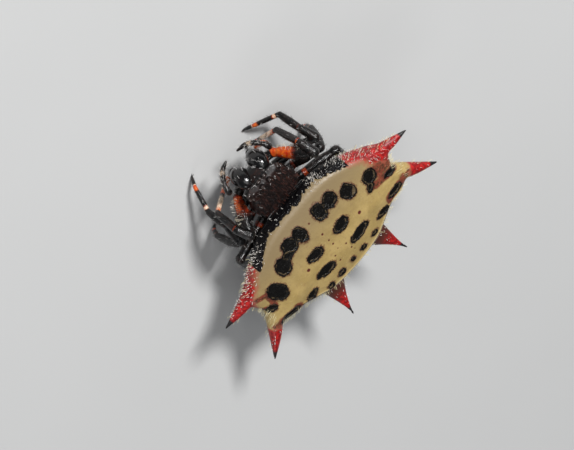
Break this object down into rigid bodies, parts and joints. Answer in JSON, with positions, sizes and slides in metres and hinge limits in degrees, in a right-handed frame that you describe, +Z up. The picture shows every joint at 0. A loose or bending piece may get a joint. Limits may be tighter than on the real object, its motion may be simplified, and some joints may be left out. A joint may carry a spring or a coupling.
{
  "type": "spiny orb weaver spider",
  "caption": "Life-size still spider: wide hard abdomen with a spotted back and red spines, small dark head, legs folded round the jaws, resting on its feet.",
  "frame": {"origin": "middle of the whole spider on the floor its feet stand on, at the base of its bounding box", "axes": "+Z up, the head faces -Y, +X is the animal's own left; the front spines lie nearly along X, the longest extent"},
  "size_m": [0.013, 0.0114, 0.0047],
  "materials": {
    "abdomen_shell": "waxy cream cuticle with black spots, a black front band and red, black-tipped spines",
    "soft_dark": "dark soft cuticle",
    "hairy_brown": "dark brown cuticle with short brown hair",
    "jaw_black": "polished black cuticle",
    "leg_thigh": "glossy cuticle, orange-red towards the hip and black towards the knee",
    "leg_black": "glossy black cuticle with orange rings"
  },
  "bodies": {
    "root": {"abdomen": "abdomen_shell", "spinnerets": "soft_dark", "pedicel": "soft_dark", "carapace": "hairy_brown", "sternum": "hairy_brown", "chelicera_left": "jaw_black", "chelicera_right": "jaw_black", "palp_left_arm": "leg_black", "palp_left_tarsus": "leg_black", "palp_right_arm": "leg_black", "palp_right_tarsus": "leg_black", "leg_1_left_femur": "leg_thigh", "leg_1_left_tibia": "leg_black", "leg_1_left_foot": "leg_black", "leg_1_right_femur": "leg_thigh", "leg_1_right_tibia": "leg_black", "leg_1_right_foot": "leg_black", "leg_2_left_femur": "leg_thigh", "leg_2_left_tibia": "leg_black", "leg_2_left_foot": "leg_black", "leg_2_right_femur": "leg_thigh", "leg_2_right_tibia": "leg_black", "leg_2_right_foot": "leg_black", "leg_3_left_femur": "leg_thigh", "leg_3_left_tibia": "leg_black", "leg_3_left_foot": "leg_black", "leg_3_right_femur": "leg_thigh", "leg_3_right_tibia": "leg_black", "leg_3_right_foot": "leg_black", "leg_4_left_femur": "leg_thigh", "leg_4_left_tibia": "leg_black", "leg_4_left_foot": "leg_black", "leg_4_right_femur": "leg_thigh", "leg_4_right_tibia": "leg_black", "leg_4_right_foot": "leg_black"}
  },
  "joints": []
}
